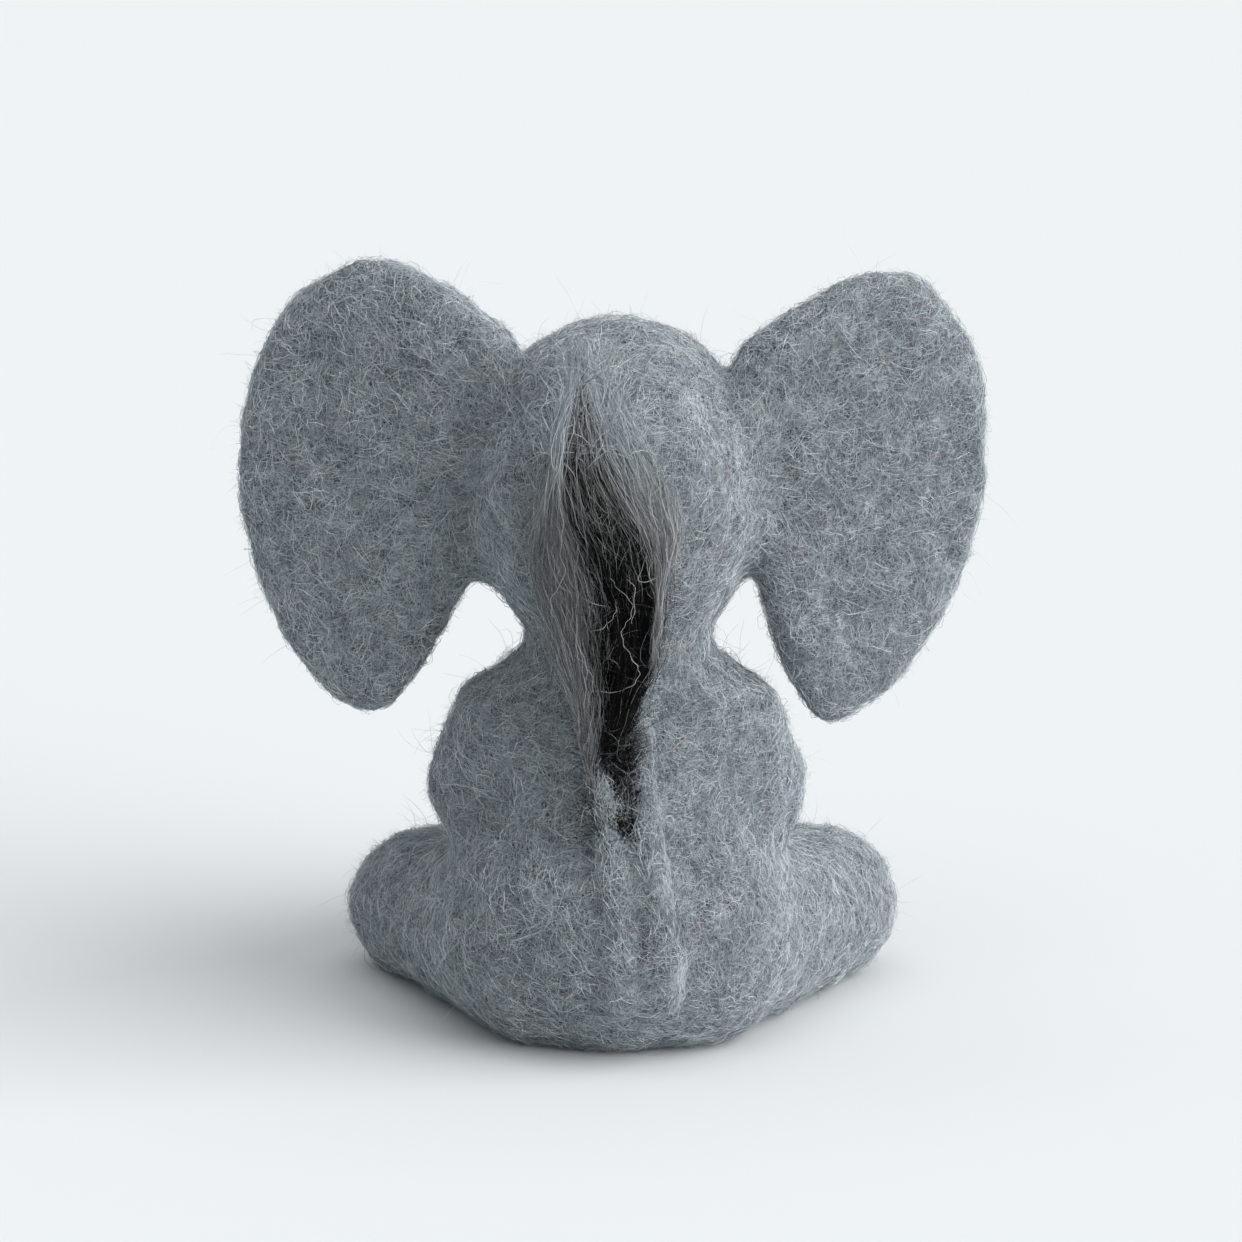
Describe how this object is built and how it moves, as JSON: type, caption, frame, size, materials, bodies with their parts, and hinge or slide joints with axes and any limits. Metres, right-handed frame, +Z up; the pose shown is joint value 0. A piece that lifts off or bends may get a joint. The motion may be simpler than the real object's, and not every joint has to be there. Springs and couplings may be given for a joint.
{
  "type": "needle-felted wool elephant",
  "caption": "Small needle-felted grey wool elephant that sits with its knees out, with big round ears, a curved trunk, and a felted tail that ends in loose black and grey wool locks.",
  "frame": {"origin": "on the floor, in the flat of the seat", "axes": "+Z up, the elephant faces -Y, its own left side is +X"},
  "size_m": [0.0833, 0.066, 0.0864],
  "materials": {
    "grey_wool": "matte needle-felted wool, blue-grey fibres over a darker ground, with a fuzzy surface",
    "core_wool": "matte firm undyed wool",
    "black_wool": "loose combed black wool",
    "brown_grey_wool": "loose combed brown-grey wool with a soft sheen",
    "glass_bead": "polished opaque black glass",
    "steel_wire": "soft annealed craft wire"
  },
  "bodies": {
    "torso": {"torso_coat": "grey_wool", "torso_core": "core_wool", "armature_wire": "steel_wire", "left_upper_arm": "grey_wool", "right_upper_arm": "grey_wool", "left_thigh": "grey_wool", "right_thigh": "grey_wool"},
    "neck": {"neck_ball": "grey_wool", "neck_wire": "steel_wire"},
    "head": {"head_coat": "grey_wool", "head_core": "core_wool", "head_wire": "steel_wire", "lower_lip": "grey_wool", "left_eye": "glass_bead", "right_eye": "glass_bead"},
    "left_ear": {"left_ear": "grey_wool"},
    "right_ear": {"right_ear": "grey_wool"},
    "trunk_base": {"trunk_base": "grey_wool", "trunk_base_wire": "steel_wire"},
    "trunk_middle": {"trunk_middle": "grey_wool", "trunk_middle_wire": "steel_wire"},
    "trunk_tip": {"trunk_tip": "grey_wool", "trunk_tip_wire": "steel_wire"},
    "left_forearm": {"left_forearm": "grey_wool", "left_forearm_wire": "steel_wire"},
    "right_forearm": {"right_forearm": "grey_wool", "right_forearm_wire": "steel_wire"},
    "left_lower_leg": {"left_lower_leg": "grey_wool", "left_lower_leg_wire": "steel_wire"},
    "right_lower_leg": {"right_lower_leg": "grey_wool", "right_lower_leg_wire": "steel_wire"},
    "tail": {"tail": "grey_wool", "tail_wire": "steel_wire", "black_lock": "black_wool", "left_grey_lock": "brown_grey_wool", "right_grey_lock": "brown_grey_wool"}
  },
  "joints": [
    {"name": "head_turn", "type": "hinge", "parent": "torso", "child": "neck", "pos_m": [0, 0, 0.047], "axis": [0, 0, 1], "range_deg": [-20, 20]},
    {"name": "head_nod", "type": "hinge", "parent": "neck", "child": "head", "pos_m": [0, 0, 0.047], "axis": [1, 0, 0], "range_deg": [-8, 12], "deforming": ["black_lock", "left_grey_lock", "right_grey_lock"]},
    {"name": "left_ear_flap", "type": "hinge", "parent": "head", "child": "left_ear", "pos_m": [0.0158, 0.0015, 0.0625], "axis": [0, 0, -1], "range_deg": [-25, 30]},
    {"name": "right_ear_flap", "type": "hinge", "parent": "head", "child": "right_ear", "pos_m": [-0.0158, 0.0015, 0.0625], "axis": [0, 0, 1], "range_deg": [-35, 20]},
    {"name": "trunk_lift", "type": "hinge", "parent": "head", "child": "trunk_base", "pos_m": [0, -0.014, 0.0555], "axis": [-1, 0, 0], "range_deg": [-10, 20]},
    {"name": "trunk_bend", "type": "hinge", "parent": "trunk_base", "child": "trunk_middle", "pos_m": [0, -0.023, 0.0465], "axis": [-1, 0, 0], "range_deg": [-25, 25]},
    {"name": "trunk_curl", "type": "hinge", "parent": "trunk_middle", "child": "trunk_tip", "pos_m": [0, -0.03, 0.0395], "axis": [-1, 0, 0], "range_deg": [-30, 30]},
    {"name": "left_elbow", "type": "hinge", "parent": "torso", "child": "left_forearm", "pos_m": [0.0133, -0.0025, 0.0265], "axis": [0, 0, 1], "range_deg": [0, 40]},
    {"name": "right_elbow", "type": "hinge", "parent": "torso", "child": "right_forearm", "pos_m": [-0.0133, -0.0025, 0.0265], "axis": [0, 0, -1], "range_deg": [0, 40]},
    {"name": "left_knee", "type": "hinge", "parent": "torso", "child": "left_lower_leg", "pos_m": [0.0212, -0.019, 0.0086], "axis": [0, 0, 1], "range_deg": [0, 45]},
    {"name": "right_knee", "type": "hinge", "parent": "torso", "child": "right_lower_leg", "pos_m": [-0.0212, -0.019, 0.0086], "axis": [0, 0, -1], "range_deg": [0, 45]},
    {"name": "tail_lift", "type": "hinge", "parent": "torso", "child": "tail", "pos_m": [-0.003, 0.0178, 0.0092], "axis": [-1, 0, 0], "range_deg": [0, 65]}
  ]
}
